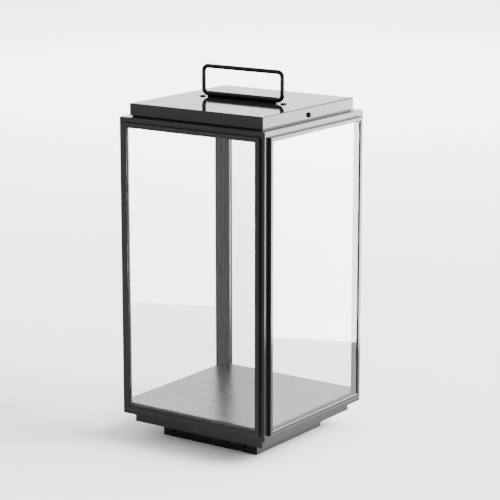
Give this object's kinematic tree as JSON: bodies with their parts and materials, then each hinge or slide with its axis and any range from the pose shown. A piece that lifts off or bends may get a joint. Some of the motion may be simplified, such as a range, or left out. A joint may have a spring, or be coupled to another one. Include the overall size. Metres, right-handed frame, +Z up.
{
  "type": "candle lantern",
  "caption": "Square glazed candle lantern with a stepped base, beaded panes, lift-off cap, fold-down rod handle and small side screws in the cap.",
  "frame": {"origin": "centre of the footprint on the floor, under the foot pads", "axes": "+Z up, -Y out of the front pane (the side with the plinth vent holes), +X to the front pane's right as seen from the front"},
  "size_m": [0.312, 0.312, 0.6501],
  "materials": {
    "frame_metal": "satin",
    "handle_metal": "semi-gloss",
    "tray_steel": "brushed",
    "pane": "clear",
    "pad_rubber": "matte",
    "zinc": "satin"
  },
  "bodies": {
    "lantern": {"foot_pads": "pad_rubber", "plinth": "frame_metal", "base_screws": "zinc", "base_nuts": "zinc", "step": "frame_metal", "sill_frame": "frame_metal", "post_front_left": "frame_metal", "post_front_right": "frame_metal", "post_back_right": "frame_metal", "post_back_left": "frame_metal", "header_frame": "frame_metal", "floor_tray": "tray_steel", "glass_front": "pane", "glass_right": "pane", "glass_back": "pane", "glass_left": "pane", "bead_front": "frame_metal", "bead_right": "frame_metal", "bead_back": "frame_metal", "bead_left": "frame_metal", "lid_collar": "frame_metal"},
    "lid": {"cap": "frame_metal", "handle_saddle": "handle_metal", "handle_buffers": "pad_rubber"},
    "handle": {"handle": "handle_metal"},
    "washer_right": {"cap_washer_right": "zinc"},
    "screw_right": {"cap_screw_right": "handle_metal"},
    "washer_left": {"cap_washer_left": "zinc"},
    "screw_left": {"cap_screw_left": "handle_metal"}
  },
  "joints": [
    {"name": "lid_lift", "type": "slide", "parent": "lantern", "child": "lid", "axis": [0, 0, 1], "range_m": [0, 0.1]},
    {"name": "handle_tilt", "type": "hinge", "parent": "lid", "child": "handle", "pos_m": [0, 0, 0.59835], "axis": [1, 0, 0], "range_deg": [-90, 90]},
    {"name": "screw_right_travel", "type": "slide", "parent": "lid", "child": "washer_right", "axis": [1, 0, 0], "range_m": [0, 0.004]},
    {"name": "screw_right_turn", "type": "hinge", "parent": "washer_right", "child": "screw_right", "pos_m": [0.1391, 0, 0.579], "axis": [1, 0, 0], "range_deg": [0, 1805]},
    {"name": "screw_left_travel", "type": "slide", "parent": "lid", "child": "washer_left", "axis": [-1, 0, 0], "range_m": [0, 0.004]},
    {"name": "screw_left_turn", "type": "hinge", "parent": "washer_left", "child": "screw_left", "pos_m": [-0.1391, 0, 0.579], "axis": [-1, 0, 0], "range_deg": [0, 1805]}
  ],
  "couplings": [
    {"joint": "screw_right_turn", "follows": "screw_right_travel", "rad_per_m": 7854},
    {"joint": "screw_left_turn", "follows": "screw_left_travel", "rad_per_m": 7854}
  ]
}
